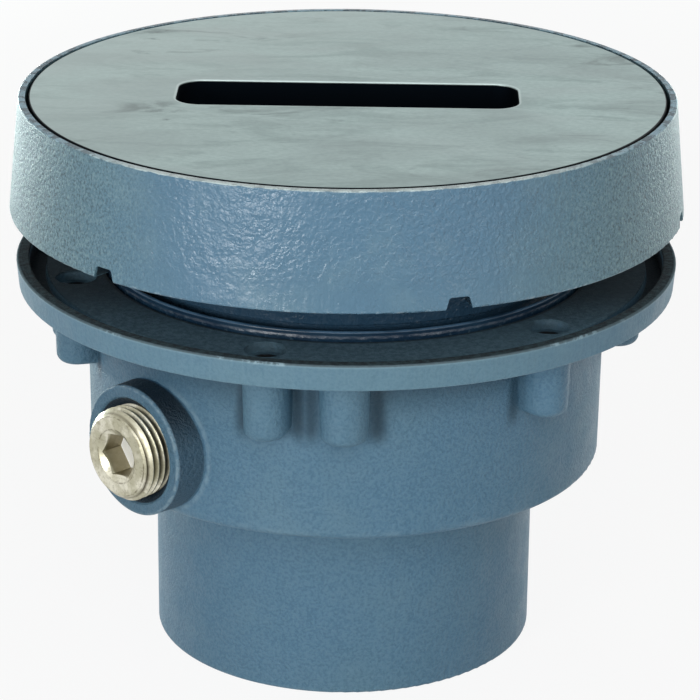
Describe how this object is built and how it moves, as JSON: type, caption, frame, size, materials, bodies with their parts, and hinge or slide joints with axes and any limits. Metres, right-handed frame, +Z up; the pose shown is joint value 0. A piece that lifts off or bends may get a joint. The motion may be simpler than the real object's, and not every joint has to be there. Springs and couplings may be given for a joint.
{
  "type": "adjustable floor drain",
  "caption": "Round floor drain with a screw-adjusted head, a loose slotted cover, a clamping flange, a side primer boss with plug and a plain outlet.",
  "frame": {"origin": "centre of the outlet's lower end, which is the bottom centre of the bounding box", "axes": "+Z up along the outlet, bore and thread axis; -Y towards the front, with the primer boss to the front left"},
  "size_m": [0.1576, 0.1576, 0.1328],
  "materials": {
    "body_paint": "satin",
    "collar_paint": "gloss",
    "head_paint": "satin",
    "cover_plate": "satin",
    "plug_metal": "satin"
  },
  "bodies": {
    "drain": {"drain_body": "body_paint", "primer_plug": "plug_metal"},
    "collar": {"adjusting_collar": "collar_paint"},
    "head": {"head_frame": "head_paint", "slotted_cover": "cover_plate"}
  },
  "joints": [
    {"name": "head_turn", "type": "hinge", "parent": "drain", "child": "collar", "pos_m": [0, 0, 0.09], "axis": [0, 0, 1], "range_deg": [-180, 2520]},
    {"name": "head_rise", "type": "slide", "parent": "collar", "child": "head", "axis": [0, 0, 1], "range_m": [-0.0016, 0.0223]}
  ],
  "couplings": [
    {"joint": "head_rise", "follows": "head_turn", "m_per_rad": 0.00050532}
  ]
}
